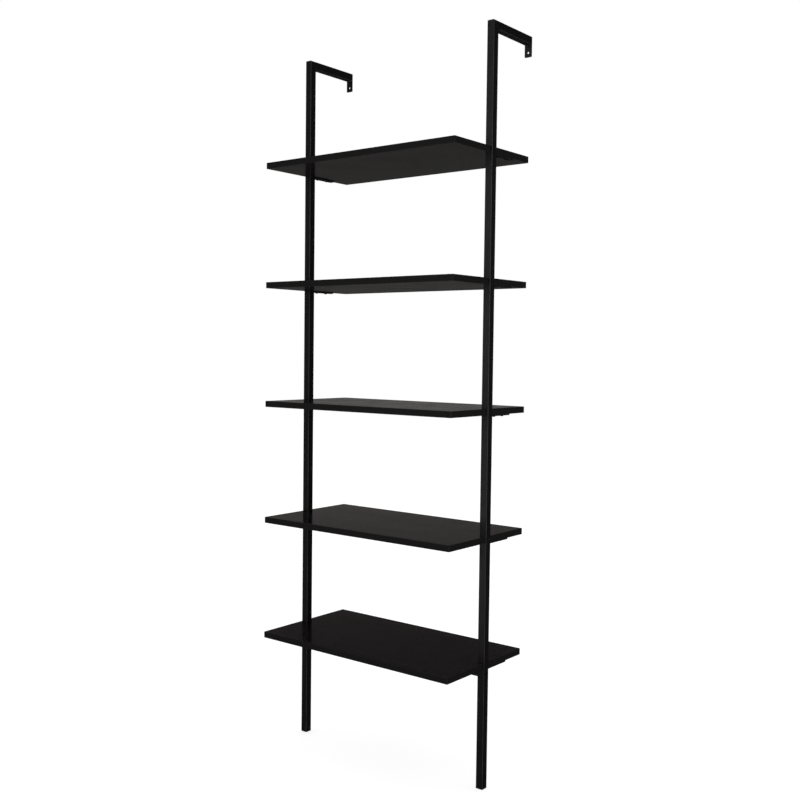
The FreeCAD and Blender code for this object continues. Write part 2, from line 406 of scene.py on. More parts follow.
# %% [markdown]
# ## Foot caps: moulded polypropylene
# A soft black cap plugs each tube at the floor. Its mould was spark-eroded, which leaves a
# fine even grain and a matt face, and the floor scuffs it. Small Voronoi cells give the
# grain and a noise of 8 mm gives the scuffs.

# %% Moulded polypropylene
def moulded_polypropylene():
    finish, tree = new_finish("black_moulded_polypropylene")
    place = add(tree, "ShaderNodeTexCoord").outputs["Object"]
    # the eroded grain is about 0.4 mm; it is drawn at 0.9 mm so that it shows
    grain = add(tree, "ShaderNodeTexVoronoi", {"Vector": place, "Scale": per_metre(0.9)})
    scuffs = add(tree, "ShaderNodeTexNoise",
                 {"Vector": place, "Scale": per_metre(8), "Detail": 4.0})
    colour = add(tree, "ShaderNodeMix",
                 {"Factor": scuffs.outputs["Fac"],
                  COLOUR_A: linear("#0f0e0e"), COLOUR_B: linear("#1e1c1c")}, data_type="RGBA")
    dullness = add(tree, "ShaderNodeMapRange",
                   {"Value": scuffs.outputs["Fac"], "From Min": 0.3, "From Max": 0.7,
                    "To Min": 0.5, "To Max": 0.65})
    bump = add(tree, "ShaderNodeBump",
               {"Strength": 0.4, "Distance": 0.05 * MM, "Height": grain.outputs["Distance"]})
    surface = add(tree, "ShaderNodeBsdfPrincipled",
                  {"Base Color": colour.outputs[MIXED_COLOUR], "IOR": 1.49,
                   "Roughness": dullness.outputs["Result"], "Normal": bump.outputs["Normal"]})
    add(tree, "ShaderNodeOutputMaterial", {"Surface": surface.outputs["BSDF"]})
    return finish


polypropylene = moulded_polypropylene()
print("made", polypropylene.name)

# %% [markdown]
# ## Inside the tubes: zinc-plated steel
# The sleeves and threaded plugs in the tubes are steel, plated with zinc in a bath. Zinc
# grows in crystals, so the shine changes from patch to patch. The colour of each Voronoi
# cell is one random number, which here sets both the tint and the dullness of one crystal.

# %% Zinc-plated steel
def zinc_plated_steel():
    finish, tree = new_finish("zinc_plated_steel")
    place = add(tree, "ShaderNodeTexCoord").outputs["Object"]
    # crystals of about 4 mm
    crystals = add(tree, "ShaderNodeTexVoronoi", {"Vector": place, "Scale": per_metre(4)})
    number = add(tree, "ShaderNodeSeparateColor", {"Color": crystals.outputs["Color"]})
    colour = add(tree, "ShaderNodeMix",
                 {"Factor": number.outputs["Red"],
                  COLOUR_A: linear("#a9adb2"), COLOUR_B: linear("#c4c8cb")}, data_type="RGBA")
    dullness = add(tree, "ShaderNodeMapRange",
                   {"Value": number.outputs["Red"], "To Min": 0.28, "To Max": 0.42})
    surface = add(tree, "ShaderNodeBsdfPrincipled",
                  {"Base Color": colour.outputs[MIXED_COLOUR], "Metallic": 1.0,
                   "Roughness": dullness.outputs["Result"]})
    add(tree, "ShaderNodeOutputMaterial", {"Surface": surface.outputs["BSDF"]})
    return finish


zinc = zinc_plated_steel()
print("made", zinc.name)

# %% [markdown]
# ## Outlines with rounded corners
# Boards, brackets and tabs are flat plates, and a tube is a square seen end on. They could
# be boxes with a bevel modifier, but a bevel rounds every edge alike, and here a router, a
# die and a rolling mill each leave their own radius. So one recipe serves them all: write
# down the sharp corners with a radius for each, then turn every corner into an arc. An
# outline drawn smaller keeps its number of points, so two of them can be joined.

# %% Round the corners of an outline
LEAST_RADIUS = 0.02 * MM


def inset_corner(corners, i, inset):
    # where corner i lies, and its radius, when every side has moved inwards by the inset
    here, before, after = (Vector(corners[k][:2]) for k in
                           (i, i - 1, (i + 1) % len(corners)))
    side_in, side_out = (here - before).normalized(), (after - here).normalized()
    inward_in, inward_out = (Vector((-side.y, side.x)) for side in (side_in, side_out))
    moved = here + (inward_in + inward_out) * inset / (1 + inward_in.dot(inward_out))
    turns_left = side_in.cross(side_out) > 0
    radius = corners[i][2] + (-inset if turns_left else inset)
    return moved, max(radius, LEAST_RADIUS), side_in, side_out


def rounded_outline(corners, inset=0.0, steps=5):
    # corners run anticlockwise, each (x, y, radius)
    points = []
    for i in range(len(corners)):
        corner, radius, side_in, side_out = inset_corner(corners, i, inset)
        turn = side_in.angle(side_out)
        centre = corner + (side_out - side_in).normalized() * radius / math.cos(turn / 2)
        start = corner - side_in * radius * math.tan(turn / 2) - centre
        end = corner + side_out * radius * math.tan(turn / 2) - centre
        for step in range(steps + 1):
            share = step / steps
            spoke = start * math.sin((1 - share) * turn) + end * math.sin(share * turn)
            points.append(centre + spoke / math.sin(turn))
    return points


def rectangle(x0, x1, y0, y1, radius):
    return [(x0, y0, radius), (x1, y0, radius), (x1, y1, radius), (x0, y1, radius)]


def circle(centre, radius, count=32):
    turns = [2 * math.pi * i / count for i in range(count)]
    return [centre + radius * Vector((math.cos(turn), math.sin(turn))) for turn in turns]


print("a rounded square has", len(rounded_outline(rectangle(0, 1, 0, 1, 0.1))), "points")

# %% [markdown]
# ## From rings to a piece
# A ring is a closed loop of points. Skinning joins each ring to the next with four-sided
# faces, and a cap closes an end. Shading matters as much as shape: edges sharper than 38
# degrees are marked sharp, and weighted normals keep the wide faces flat, so that the
# narrow soft edges carry the highlight as they do on a real part.

# %% Skin rings and make a piece
SHARP_ANGLE = math.radians(38)


def add_ring(mesh, points):
    return [mesh.verts.new(point) for point in points]


def skin(mesh, rings):
    for lower, upper in zip(rings, rings[1:]):
        for i in range(len(lower)):
            k = (i + 1) % len(lower)
            mesh.faces.new((lower[i], lower[k], upper[k], upper[i]))


def skin_and_cap(mesh, rings):
    skin(mesh, rings)
    mesh.faces.new(rings[0])
    mesh.faces.new(rings[-1])


def to_object(name, mesh):
    bmesh.ops.recalc_face_normals(mesh, faces=mesh.faces)
    data = bpy.data.meshes.new(name)
    mesh.to_mesh(data)
    mesh.free()
    thing = bpy.data.objects.new(name, data)
    bpy.context.scene.collection.objects.link(thing)
    return thing


def make_piece(name, mesh, finishes, node=None):
    piece = to_object(name, mesh)
    for finish in finishes:
        piece.data.materials.append(finish)
    for polygon in piece.data.polygons:
        polygon.use_smooth = True
    piece.data.set_sharp_from_angle(angle=SHARP_ANGLE)
    weighted = piece.modifiers.new("flat_faces_stay_flat", "WEIGHTED_NORMAL")
    weighted.keep_sharp = True
    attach(piece, BODY)
    if node:
        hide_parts(node)
    return piece


print("edges over", round(math.degrees(SHARP_ANGLE)), "degrees stay sharp")

# %% [markdown]
# ## Plates with holes
# A plate is a stack of rings that goes round its edge: from the lower face, drawn a little
# smaller, out along a quarter circle, up the side, and back in at the top. A hole is the
# same stack with circles. What is left of each flat face, between the outline and the
# holes, is filled with triangles.

# %% Build a plate
def edge_profile(thickness, edge, steps=3):
    # (inset, height) pairs that go round the edge from the lower face to the upper one
    curve = []
    for step in range(steps + 1):
        angle = math.radians(90) * step / steps
        curve.append((edge * (1 - math.sin(angle)), edge * (1 - math.cos(angle))))
    return curve + [(inset, thickness - height) for inset, height in reversed(curve)]


def fill_between(mesh, rings):
    rims = []
    for ring in rings:
        for i in range(len(ring)):
            pair = (ring[i - 1], ring[i])
            rims.append(mesh.edges.get(pair) or mesh.edges.new(pair))
    bmesh.ops.triangle_fill(mesh, edges=rims, use_beauty=True)


def plate(corners, profile, place, holes=()):
    # place turns the outline's (x, y) and a height into a point of the shelf
    mesh = bmesh.new()
    stacks = [[add_ring(mesh, [place(point.x, point.y, height)
                               for point in rounded_outline(corners, inset)])
               for inset, height in profile]]
    for centre, radius in holes:
        stacks.append([add_ring(mesh, [place(point.x, point.y, height)
                                       for point in circle(centre, radius + inset)])
                       for inset, height in profile])
    for stack in stacks:
        skin(mesh, stack)
    for end in (0, -1):
        if holes:
            fill_between(mesh, [stack[end] for stack in stacks])
        else:
            mesh.faces.new(stacks[0][end])
    return mesh


print("a plate's edge is", len(edge_profile(3 * MM, 0.4 * MM)), "rings")

# %% [markdown]
# ## The five boards
# A board is 610 x 320 mm and 16 mm thick. Its edge band is rounded over by 0.6 mm, which
# draws the thin light line round a black board, and where band and laminate meet there is a
# fine glue line. In the middle of each end is a notch, a hair wider than the upright, with
# the router's round inner corners. The glue line is three more rings in the plate's profile.
# The notch is cut after banding and has none, so there its points go back to the face.

# %% Boards
BAND_ROUNDING = 0.6 * MM
BAND_THICKNESS = 0.85 * MM
GLUE_WIDTH = 0.2 * MM
GLUE_DEPTH = 0.1 * MM
BOARD_CORNER = 1.2 * MM
NOTCH_GAP = 0.3 * MM
NOTCH_MOUTH = 0.7 * MM
ROUTER_ROUNDING = 2.3 * MM
NOTCH_LENGTH = 18 * MM
LEVEL_FACE = 0.9  # a face whose normal points up or down by more than this is level
LAMINATE, BAND, CORE = 0, 1, 2

notch_depth_x = tube_low.x - NOTCH_GAP
notch_front, notch_back = tube_low.y - NOTCH_GAP, tube_high.y + NOTCH_GAP


def board_outline(low, high):
    corners = [
        (high.x, low.y, BOARD_CORNER),
        (high.x, notch_front, NOTCH_MOUTH), (notch_depth_x, notch_front, ROUTER_ROUNDING),
        (notch_depth_x, notch_back, ROUTER_ROUNDING), (high.x, notch_back, NOTCH_MOUTH),
        (high.x, high.y, BOARD_CORNER),
    ]
    mirrored = [(-x, y, radius) for x, y, radius in reversed(corners)]
    return corners + mirrored


def board_profile(thickness):
    glue_line = [(BAND_THICKNESS + GLUE_WIDTH, 0.0),
                 (BAND_THICKNESS + GLUE_WIDTH / 2, GLUE_DEPTH), (BAND_THICKNESS, 0.0)]
    above = [(inset, thickness - height) for inset, height in reversed(glue_line)]
    return glue_line + edge_profile(thickness, BAND_ROUNDING) + above


def in_notch(point):
    margin = 2 * BAND_THICKNESS
    between = notch_front - margin < point.y < notch_back + margin
    inside = notch_depth_x - margin < abs(point.x) < notch_depth_x + NOTCH_LENGTH - margin
    return between and inside


def close_glue_line(mesh, low, high):
    for vertex in mesh.verts:
        for face_height in (low.z, high.z):
            if in_notch(vertex.co) and abs(vertex.co.z - face_height) < 1.5 * GLUE_DEPTH:
                vertex.co.z = face_height


def finish_board(board, low, high):
    for polygon in board.data.polygons:
        middle = polygon.center
        from_side = min(high.x - abs(middle.x), middle.y - low.y, high.y - middle.y)
        if in_notch(middle):
            polygon.material_index = LAMINATE if abs(polygon.normal.z) > LEVEL_FACE else CORE
        elif from_side < BAND_THICKNESS:
            polygon.material_index = BAND
        else:
            polygon.material_index = LAMINATE


for node in BOARDS:
    low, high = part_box(node)
    mesh = plate(board_outline(low, high), board_profile(high.z - low.z),
                 lambda x, y, height: Vector((x, y, low.z + height)))
    close_glue_line(mesh, low, high)
    board = make_piece(node + "_board", mesh, [laminate, edge_band, board_core],
                       node)
    finish_board(board, low, high)
    print(board.name, [round(size / MM, 1) for size in high - low], "mm")

# %% [markdown]
# ## The square tubes
# Uprights, arms and crossbar are one stock: 20 mm tube with 1.2 mm walls. Each could be a
# curve with a square bevel, but the ends matter here. Skinning an outer and an inner
# outline gives a real open end with a wall, and lets each corner of the tube run on to
# where it meets a slanted cut. A sawn end has its burr filed off. A mitre is welded and
# ground flush, so it keeps no such edge.

# %% Tubes
TUBE_WALL = 1.2 * MM
TUBE_ROUNDING = 2 * MM
FILED_EDGE = 0.25 * MM
GROUND_FLUSH = 0.02 * MM

tube_half = (tube_high.x - tube_low.x) / 2


def tube(place, start, end, start_edge=FILED_EDGE, end_edge=FILED_EDGE):
    # place(a, b, along) is a point of the shelf; start(b) and end(b) say where the line of
    # the tube at height b of its section begins and stops
    mesh = bmesh.new()
    section = rectangle(-tube_half, tube_half, -tube_half, tube_half, TUBE_ROUNDING)

    def ring(inset, cut, shift=0.0):
        return add_ring(mesh, [place(point.x, point.y, cut(point.y) + shift)
                               for point in rounded_outline(section, inset, steps=6)])

    rings = [ring(TUBE_WALL, start), ring(start_edge, start), ring(0.0, start, start_edge),
             ring(0.0, end, -end_edge), ring(end_edge, end), ring(TUBE_WALL, end)]
    skin(mesh, rings + rings[:1])
    return mesh


for side, sign in SIDES.items():
    upper_low, upper_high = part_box("upper_upright_" + side)
    arm_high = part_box("top_arm_" + side)[1]

    def standing(a, b, along):
        return Vector((sign * upright_x + a, upright_y + b, along))

    def lying(a, b, along):
        return Vector((sign * upright_x + a, along, arm_high.z - tube_half + b))

    lower = tube(standing, lambda b: tube_low.z, lambda b: tube_high.z)
    make_piece("lower_tube_" + side, lower, [powder_coat],
               "lower_upright_" + side)
    upper = tube(standing, lambda b: upper_low.z, lambda b: upper_high.z - tube_half - b,
                 end_edge=GROUND_FLUSH)
    make_piece("upper_tube_" + side, upper, [powder_coat],
               "upper_upright_" + side)
    arm = tube(lying, lambda b: upright_y - b, lambda b: arm_high.y, start_edge=GROUND_FLUSH)
    make_piece("arm_tube_" + side, arm, [powder_coat], "top_arm_" + side)
    print(side, "upright joins at", round(tube_high.z / MM), "mm and ends at",
          round(upper_high.z / MM), "mm")

bar_low, bar_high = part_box("crossbar")
bar_y, bar_z = (bar_low.y + bar_high.y) / 2, (bar_low.z + bar_high.z) / 2
bar = tube(lambda a, b, along: Vector((along, bar_y + a, bar_z + b)),
           lambda b: bar_low.x, lambda b: bar_high.x)
make_piece("crossbar_tube", bar, [powder_coat], "crossbar")
print("the crossbar is", round((bar_high.x - bar_low.x) / MM), "mm long")

# %% [markdown]
# ## Brackets
# Under each board end a flat bar is welded to the back of the upright. It carries the board
# on two screws. The bars are cut in a press, which leaves the free end rounded, and tumbled
# before coating, so every edge is a little soft. A plate with two holes is all they are.

# %% Brackets
PRESSED_EDGE = 0.35 * MM
BRACKET_CORNER = 2.5 * MM
WELDED_CORNER = 0.3 * MM
BRACKET_HOLE = 2.25 * MM
SCREW_OFFSETS = (20 * MM, 56 * MM)

for node in BOARDS:
    for side in SIDES:
        name = node + "_bracket_" + side
        low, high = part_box(name)
        middle = (low.x + high.x) / 2
        bar_outline = [(low.x, low.y, WELDED_CORNER), (high.x, low.y, WELDED_CORNER),
                       (high.x, high.y, BRACKET_CORNER), (low.x, high.y, BRACKET_CORNER)]
        holes = [(Vector((middle, low.y + offset)), BRACKET_HOLE) for offset in SCREW_OFFSETS]
        mesh = plate(bar_outline, edge_profile(high.z - low.z, PRESSED_EDGE),
                     lambda x, y, height: Vector((x, y, low.z + height)), holes)
        make_piece(name + "_bar", mesh, [powder_coat], name)
print("a bracket is", [round(size / MM, 1) for size in high - low], "mm")

# %% [markdown]
# ## Wall tabs
# A tab is a 50 mm piece of the same bar stock as wide as the tube. It closes the open end
# of the arm and hangs below it, flat against the wall, with one hole for the wall screw. It
# is built like a bracket, but standing: the outline's second direction is up, and the
# plate's thickness runs away from the wall.

# %% Wall tabs
TAB_CORNER = 2 * MM
WALL_HOLE = 2.75 * MM
WALL_HOLE_ABOVE_END = 11 * MM

for side in SIDES:
    low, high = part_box("wall_tab_" + side)
    hole = (Vector(((low.x + high.x) / 2, low.z + WALL_HOLE_ABOVE_END)), WALL_HOLE)
    mesh = plate(rectangle(low.x, high.x, low.z, high.z, TAB_CORNER),
                 edge_profile(high.y - low.y, PRESSED_EDGE),
                 lambda x, z, depth: Vector((x, high.y - depth, z)), [hole])
    tab = make_piece("wall_tab_plate_" + side, mesh, [powder_coat],
                     "wall_tab_" + side)
    print(tab.name, [round(size / MM, 1) for size in high - low], "mm")

# %% [markdown]
# ## Weld beads
# The mitres are ground flush on the outside, but in the inner corners the bead stays: a
# small ridge that fills the corner, with ripples where the molten pool moved on every
# couple of millimetres. A bump texture would vanish at the ridge's outline, so the ripples
# are real. There is a bead under each bracket, under each arm at its tab, and in each inner
# mitre corner.

# %% Weld beads
BEAD_RADIUS = 1.5 * MM
RIPPLE_LENGTH = 2 * MM
RIPPLE_HEIGHT = 0.12
FLATTENING = 0.18
ROOT_DEPTH = 0.2 * MM
START_SWELL = 0.35
BRACKET_BEAD, ARM_BEAD = 6.5 * MM, 7.5 * MM  # half lengths
BEAD_STEPS, ARC_STEPS = 40, 8


def weld_bead(mesh, middle, half_length, across, down):
    # a ridge along X that fills the corner between the directions across and down
    along = Vector((1, 0, 0))
    rings = []
    for i in range(BEAD_STEPS + 1):
        distance = 2 * half_length * i / BEAD_STEPS
        from_end = min(distance, 2 * half_length - distance)
        swell = min(1.0, START_SWELL + from_end / BEAD_RADIUS)
        ripple = 1 + RIPPLE_HEIGHT * math.sin(2 * math.pi * distance / RIPPLE_LENGTH)
        root = middle + along * (distance - half_length)
        ring = [root - across * ROOT_DEPTH - down * ROOT_DEPTH]
        for k in range(ARC_STEPS + 1):
            angle = math.radians(90) * k / ARC_STEPS
            radius = BEAD_RADIUS * swell * ripple * (1 - FLATTENING * math.sin(2 * angle))
            ring.append(root + across * radius * math.cos(angle)
                        + down * radius * math.sin(angle))
        rings.append(add_ring(mesh, ring))
    skin_and_cap(mesh, rings)


BACK, FRONT, DOWN = Vector((0, 1, 0)), Vector((0, -1, 0)), Vector((0, 0, -1))
for side, sign in SIDES.items():
    mesh = bmesh.new()
    for node in BOARDS:
        low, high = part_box(node + "_bracket_" + side)
        weld_bead(mesh, Vector((sign * upright_x, low.y, low.z)), BRACKET_BEAD, BACK, DOWN)
    arm_low, arm_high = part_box("top_arm_" + side)
    for depth, towards in ((tube_high.y, BACK), (arm_high.y, FRONT)):
        corner = Vector((sign * upright_x, depth, arm_low.z))
        weld_bead(mesh, corner, ARM_BEAD, towards, DOWN)
    beads = make_piece("weld_beads_" + side, mesh, [powder_coat])
    print(beads.name, "have", len(beads.data.polygons), "faces")

# %% [markdown]
# ## Turned and stamped parts
# A screw is turned, so it is a profile spun round its axis. Blender has a screw modifier for
# that, but writing the rings out keeps every radius readable. The threads are drawn as
# rings rather than a helix, because they sit inside boards and tubes, where nobody sees
# that they don't climb.

# %% Spin a profile
RIM_SHARE = 0.35  # of a head's height
FLAT_TOP = 0.35  # of a head's radius


def spun(profile, count=40):
    # profile is (radius, height) pairs; a radius of 0 closes the end in a point
    mesh = bmesh.new()
    rings = []
    for radius, height in profile:
        if radius == 0:
            rings.append([mesh.verts.new((0, 0, height))])
        else:
            rings.append(add_ring(mesh, [(point.x, point.y, height)
                                         for point in circle(Vector((0, 0)), radius, count)]))
    for lower, upper in zip(rings, rings[1:]):
        for i in range(count):
            k = (i + 1) % count
            corners = [lower[i % len(lower)], lower[k % len(lower)],
                       upper[k % len(upper)], upper[i % len(upper)]]
            mesh.faces.new(list(dict.fromkeys(corners)))
    return mesh


def domed_head(radius, height, steps=8):
    # from the rim up to a small flat top
    rim = RIM_SHARE * height
    curve = [(radius, 0.0), (radius, rim)]
    for step in range(1, steps + 1):
        angle = math.radians(90) * step / steps
        curve.append((radius * (FLAT_TOP + (1 - FLAT_TOP) * math.cos(angle)),
                      rim + (height - rim) * math.sin(angle)))
    return curve + [(0, height)]


def thread(radius, pitch, depth, start, end):
    curve = []
    turns = int((end - start) / pitch)
    for i in range(turns):
        curve += [(radius - depth, start + i * pitch), (radius, start + (i + 0.5) * pitch)]
    return curve + [(radius - depth, start + turns * pitch)]


print("a domed head has", len(domed_head(4 * MM, 2 * MM)), "rings")

# %% [markdown]
# ## The drive in the head
# After turning, a punch presses the drive into the head. The recess could be a dark patch,
# but a real one catches light on its far wall. So the punch is a solid too, a tapered cross
# or a hexagon, and a boolean cuts it away. One fastener of a kind is made this way and then
# copied to every place that needs it.

# %% Stamp the drive
def cross_outline(arm, slot):
    a, s = arm / 2, slot / 2
    return [(s, -a), (s, -s), (a, -s), (a, s), (s, s), (s, a),
            (-s, a), (-s, s), (-a, s), (-a, -s), (-s, -s), (-s, -a)]


def hexagon_outline(across_flats):
    return [(point.x, point.y) for point in
            circle(Vector((0, 0)), across_flats / math.sqrt(3), 6)]


def stamp(bottom_outline, bottom, top_outline, top):
    mesh = bmesh.new()
    rings = [add_ring(mesh, [(x, y, height) for x, y in outline])
             for outline, height in ((bottom_outline, bottom), (top_outline, top))]
    skin_and_cap(mesh, rings)
    return mesh


def stamped(blank_mesh, stamp_mesh):
    blank, tool = to_object("blank", blank_mesh), to_object("stamp", stamp_mesh)
    boolean = blank.modifiers.new("drive", "BOOLEAN")
    boolean.object = tool
    boolean.operation = "DIFFERENCE"
    boolean.solver = "EXACT"
    result = bpy.data.meshes.new_from_object(
        blank.evaluated_get(bpy.context.evaluated_depsgraph_get()))
    for thing in (blank, tool):
        bpy.data.objects.remove(thing)
    return result


def copies(fastener, matrices):
    mesh = bmesh.new()
    for matrix in matrices:
        placed = fastener.copy()
        placed.transform(matrix)
        mesh.from_mesh(placed)
        bpy.data.meshes.remove(placed)
    return mesh


print("a cross drive has", len(cross_outline(2, 1)), "corners, a hexagon drive",
      len(hexagon_outline(4)))

# %% [markdown]
# ## Board screws
# Twenty pan-head wood screws go up through the brackets into the boards, two at each end.
# Their heads hang below the brackets and are all that shows. The screw is made head up and
# turned over as it is placed, so that its profile reads from the tip to the head.

# %% Board screws
SCREW_LENGTH = 15 * MM
SCREW_TIP = (1.1 * MM, -12.2 * MM)  # radius and height
SCREW_THREAD = (1.7 * MM, 1.2 * MM, 0.35 * MM)  # radius, pitch and depth
SCREW_HEAD = (3.9 * MM, 2.2 * MM)  # radius and height

screw_blank = [(0, -SCREW_LENGTH), SCREW_TIP] + thread(*SCREW_THREAD, -12 * MM, -1.2 * MM) \
    + [(1.3 * MM, 0.0)] + domed_head(*SCREW_HEAD)
cross_stamp = stamp(cross_outline(1.8 * MM, 0.7 * MM), 0.9 * MM,
                    cross_outline(4.6 * MM, 1.1 * MM), 2.6 * MM)
board_screw = stamped(spun(screw_blank), cross_stamp)

head_down = Matrix.Rotation(math.pi, 4, "X")
places = []
for node in BOARDS:
    for side in SIDES:
        low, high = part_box(node + "_bracket_" + side)
        for offset in SCREW_OFFSETS:
            spot = Matrix.Translation(((low.x + high.x) / 2, low.y + offset, low.z))
            places.append(spot @ head_down)
screws = make_piece("board_screws", copies(board_screw, places), [black_oxide],
                    "shelf_screws")
print(len(places), "board screws,", len(screws.data.polygons), "faces")

# %% [markdown]
# ## Crossbar bolts
# A button-head bolt goes through each upright into the end of the crossbar. It is threaded
# only as far as it reaches into the crossbar's plug; the rest is a plain shank. Its head
# faces outwards, so the bolt is made head up and laid over to its own side.

# %% Crossbar bolts
BOLT_LENGTH, BOLT_RADIUS = 35 * MM, 3.0 * MM
BOLT_SHANK = 17.5 * MM
BOLT_HEAD = (5.25 * MM, 2.8 * MM)  # radius and height

bolt_blank = [(0, -BOLT_LENGTH), (2.4 * MM, -BOLT_LENGTH)] \
    + thread(BOLT_RADIUS, 1.0 * MM, 0.3 * MM, -34.6 * MM, -18 * MM) \
    + [(BOLT_RADIUS, -BOLT_SHANK), (BOLT_RADIUS, 0.0)] + domed_head(*BOLT_HEAD)
bolt_key = stamp(hexagon_outline(4 * MM), 1.1 * MM, hexagon_outline(4 * MM), 4 * MM)
crossbar_bolt = stamped(spun(bolt_blank), bolt_key)
places = [Matrix.Translation((sign * tube_high.x, upright_y, bar_z))
          @ Matrix.Rotation(sign * math.radians(90), 4, "Y") for sign in SIDES.values()]
make_piece("crossbar_bolt_pair", copies(crossbar_bolt, places), [black_oxide],
           "crossbar_bolts")
print("crossbar bolts at", round(bar_z / MM), "mm")

# %% [markdown]
# ## Joint screws
# Each upright is two lengths on one inner sleeve, and a short screw from behind holds the
# upper length on it. It is a smaller button head, made in the same way.

# %% Joint screws
JOINT_LENGTH, JOINT_RADIUS = 8 * MM, 2.5 * MM
JOINT_HEAD = (4.6 * MM, 2.4 * MM)  # radius and height

joint_blank = [(0, -JOINT_LENGTH), (2.0 * MM, -JOINT_LENGTH)] \
    + thread(JOINT_RADIUS, 0.8 * MM, 0.25 * MM, -7.6 * MM, -1.0 * MM) \
    + [(JOINT_RADIUS, -0.8 * MM), (JOINT_RADIUS, 0.0)] + domed_head(*JOINT_HEAD)
joint_key = stamp(hexagon_outline(3 * MM), 0.9 * MM, hexagon_outline(3 * MM), 4 * MM)
joint_screw = stamped(spun(joint_blank), joint_key)
joint_low, joint_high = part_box("upright_joint_screws")
joint_z = (joint_low.z + joint_high.z) / 2
places = [Matrix.Translation((sign * upright_x, tube_high.y, joint_z))
          @ Matrix.Rotation(math.radians(-90), 4, "X") for sign in SIDES.values()]
make_piece("joint_screw_pair", copies(joint_screw, places), [black_oxide],
           "upright_joint_screws")
print("joint screws at", round(joint_z / MM), "mm")

# %% [markdown]
# ## Foot caps
# A cap is a 3 mm flange as wide as the tube, with a hollow plug that grips inside it. Only
# the flange shows, with a small bevel where it meets the floor. It is one stack of rings:
# out along the bevel, up the flange, in to the plug, up, over the rim and down inside.

# %% Foot caps
CAP_BEVEL = 0.5 * MM
CAP_ROUNDING = 0.1 * MM
FLANGE = 3 * MM
PLUG_INSET = 1.4 * MM
PLUG_WALL = 2 * MM
PLUG_LEAD_IN = 0.5 * MM
PLUG_FLOOR = 5 * MM

for side in SIDES:
    low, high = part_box("foot_cap_" + side)
    height = high.z - low.z
    route = [(CAP_BEVEL, 0.0), (0.0, CAP_BEVEL),
             (0.0, FLANGE - CAP_ROUNDING), (CAP_ROUNDING, FLANGE), (PLUG_INSET, FLANGE),
             (PLUG_INSET, height - PLUG_LEAD_IN), (PLUG_INSET + PLUG_LEAD_IN, height),
             (PLUG_INSET + PLUG_WALL, height), (PLUG_INSET + PLUG_WALL, PLUG_FLOOR)]
    outline = rectangle(low.x, high.x, low.y, high.y, TUBE_ROUNDING)
    mesh = bmesh.new()
    skin_and_cap(mesh, [add_ring(mesh, [(point.x, point.y, low.z + up)
                                        for point in rounded_outline(outline, inset, 6)])
                        for inset, up in route])
    foot = make_piece("foot_" + side, mesh, [polypropylene],
                      "foot_cap_" + side)
    print(foot.name, "is", round(height / MM), "mm tall with its plug")

# %% [markdown]
# ## The parts inside the tubes
# The joint sleeves and the threaded plugs can't be seen on the assembled shelf. Their
# shapes in the model are exact, so they stay, and only take their finish.

# %% Finish the hidden parts
for node in ("joint_sleeve_left", "joint_sleeve_right", "crossbar_end_plugs"):
    for material_slot in frame["nodes"][node].material_slots:
        material_slot.material = zinc
print("zinc on the sleeves and plugs")

# %% [markdown]
# ## The room
# A glossy black board has next to no colour of its own: what the eye sees is the room in
# it. In a white room it would look pale grey. So this room is two rooms at once. For plain
# light it is white all round, which leaves hardly a shadow. In reflections it is a dim
# studio with a bright ceiling, and a light band low on the wall, which is why a board seen
# nearly edge on looks lighter than the next one down. The brightest wall is at the back
# left, where the boards' tops mirror it. The farther from it, the darker the room, down to
# a tenth on the opposite side. So the upright faces stay nearly black, and only the soft
# boxes in the next step draw light on them.

# %% The room's light
# height of the direction above the horizon in degrees, and the brightness there
STUDIO = {-90: "#242323", -24: "#2a2929", -14: "#444342", -10: "#474645", -2: "#454443",
          1.5: "#565554", 5: "#848382", 9: "#53504f", 14: "#413e3d", 17: "#312f2e",
          26: "#2b2928", 40: "#696867", 60: "#a3a2a1", 90: "#d6d6d6"}
BRIGHT_WALL = (-0.77, 0.64, 0.0)
WALL_CONTRAST = 3.2  # how many times darker at right angles to the bright wall

world = bpy.data.worlds.new("studio_room")
bpy.context.scene.world = world
world.use_nodes = True
world.cycles.sampling_method = "NONE"  # each ray then asks for its own kind of room
room = world.node_tree
room.nodes.clear()
direction = add(room, "ShaderNodeTexCoord").outputs["Generated"]
upward = add(room, "ShaderNodeSeparateXYZ", {"Vector": direction})
share = add(room, "ShaderNodeMapRange",
            {"Value": upward.outputs["Z"], "From Min": -1.0, "From Max": 1.0})
ramp = add(room, "ShaderNodeValToRGB", {"Fac": share.outputs["Result"]})
stops = ramp.color_ramp.elements
while len(stops) < len(STUDIO):
    stops.new(0.5)
for stop, (angle, hex_colour) in zip(stops, STUDIO.items()):
    stop.position = (1 + math.sin(math.radians(angle))) / 2
    stop.color = linear(hex_colour)
facing_wall = add(room, "ShaderNodeVectorMath", {0: direction, 1: BRIGHT_WALL},
                  operation="DOT_PRODUCT")
turned_away = add(room, "ShaderNodeMath", {0: facing_wall.outputs["Value"], 1: 1.0},
                  operation="SUBTRACT")
dimming = add(room, "ShaderNodeMath", {0: WALL_CONTRAST, 1: turned_away.outputs["Value"]},
              operation="POWER")
white_room = add(room, "ShaderNodeBackground", {"Color": (1, 1, 1, 1), "Strength": 1.0})
dim_studio = add(room, "ShaderNodeBackground",
                 {"Color": ramp.outputs["Color"], "Strength": dimming.outputs["Value"]})
ray = add(room, "ShaderNodeLightPath")
seen = add(room, "ShaderNodeMixShader", {"Fac": ray.outputs["Is Glossy Ray"],
                                         1: white_room.outputs["Background"],
                                         2: dim_studio.outputs["Background"]})
add(room, "ShaderNodeOutputWorld", {"Surface": seen.outputs["Shader"]})
print("the studio has", len(stops), "bands of brightness")

